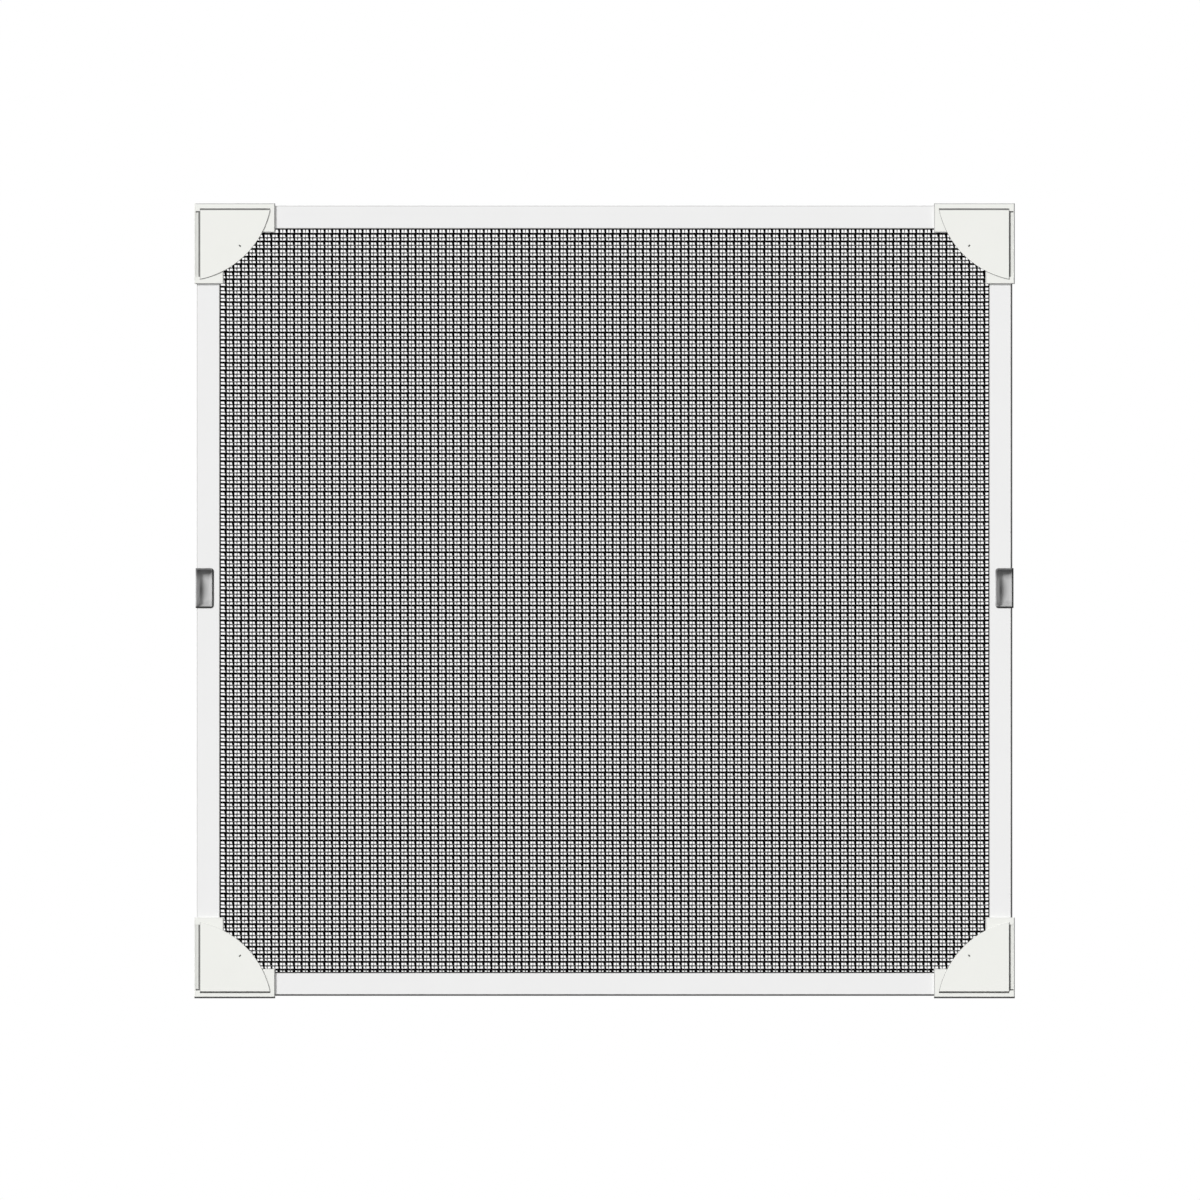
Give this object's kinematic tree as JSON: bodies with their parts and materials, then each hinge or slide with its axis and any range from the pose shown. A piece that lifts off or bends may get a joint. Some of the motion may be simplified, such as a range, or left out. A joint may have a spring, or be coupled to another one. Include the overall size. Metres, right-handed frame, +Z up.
{
  "type": "window screen frame",
  "caption": "Framed insect screen for a window: hollow rails joined by moulded corner connectors, woven cloth held by spline cord, and a dished finger pull in each stile.",
  "frame": {"origin": "bottom centre of the box round the whole screen: midway across its width and depth, level with the undersides of the bottom corner connectors", "axes": "+X to the right seen from the front, +Y from the plain front face towards the spline side, +Z up"},
  "size_m": [0.68, 0.0126, 0.659],
  "materials": {
    "rail_white": "white powder-coated rolled aluminium, satin",
    "corner_white": "white moulded plastic, fine satin texture",
    "cloth_black": "black coated woven strands with finer grey strands between them",
    "spline_grey": "dark soft cord with fine ribs round it",
    "pull_grey": "dark metallic grey moulding with a satin gloss"
  },
  "bodies": {
    "root": {"top_rail": "rail_white", "bottom_rail": "rail_white", "left_stile": "rail_white", "right_stile": "rail_white", "corner_top_left": "corner_white", "corner_top_right": "corner_white", "corner_bottom_left": "corner_white", "corner_bottom_right": "corner_white", "screen_cloth": "cloth_black", "spline_top": "spline_grey", "spline_bottom": "spline_grey", "spline_left": "spline_grey", "spline_right": "spline_grey", "finger_pull_left": "pull_grey", "finger_pull_right": "pull_grey"}
  },
  "joints": []
}
